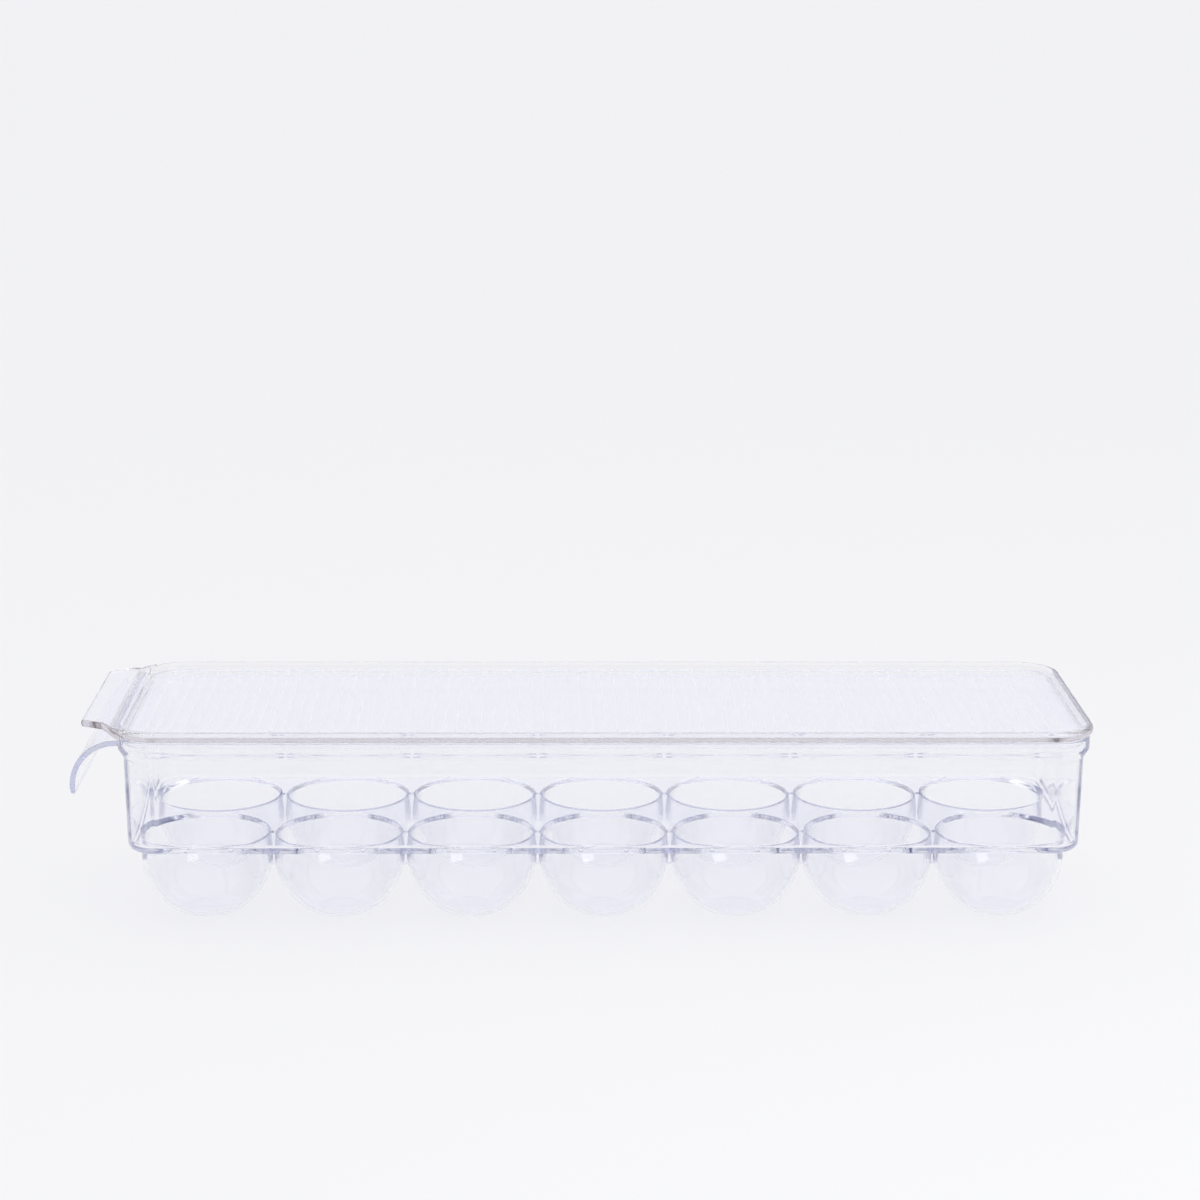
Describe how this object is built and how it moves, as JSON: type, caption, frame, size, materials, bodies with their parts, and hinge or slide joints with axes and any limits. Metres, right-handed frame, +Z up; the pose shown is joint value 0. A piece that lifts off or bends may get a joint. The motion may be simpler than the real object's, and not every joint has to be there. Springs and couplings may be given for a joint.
{
  "type": "egg holder tray",
  "caption": "Clear plastic egg tray with rows of round cups, a curled pull handle and a ribbed lift-off lid with a grip tab.",
  "frame": {"origin": "centre of the closed object's footprint, pull handle included, on the plane that the cups stand on", "axes": "+X along the tray, away from the pull handle; +Y across the tray, from the front row of cups to the rear row; +Z up"},
  "size_m": [0.3728, 0.1068, 0.076],
  "materials": {
    "tray_plastic": "clear polished",
    "handle_plastic": "clear polished",
    "lid_plastic": "clear, finely ribbed"
  },
  "bodies": {
    "tray": {"egg_cup_front_1": "tray_plastic", "egg_cup_front_2": "tray_plastic", "egg_cup_front_3": "tray_plastic", "egg_cup_front_4": "tray_plastic", "egg_cup_front_5": "tray_plastic", "egg_cup_front_6": "tray_plastic", "egg_cup_front_7": "tray_plastic", "egg_cup_rear_1": "tray_plastic", "egg_cup_rear_2": "tray_plastic", "egg_cup_rear_3": "tray_plastic", "egg_cup_rear_4": "tray_plastic", "egg_cup_rear_5": "tray_plastic", "egg_cup_rear_6": "tray_plastic", "egg_cup_rear_7": "tray_plastic", "side_wall": "tray_plastic", "pull_handle": "handle_plastic"},
    "lid": {"lid": "lid_plastic", "lid_grip_tab": "lid_plastic"}
  },
  "joints": [
    {"name": "lid_lift", "type": "slide", "parent": "tray", "child": "lid", "axis": [0, 0, 1], "range_m": [0, 0.08]}
  ]
}
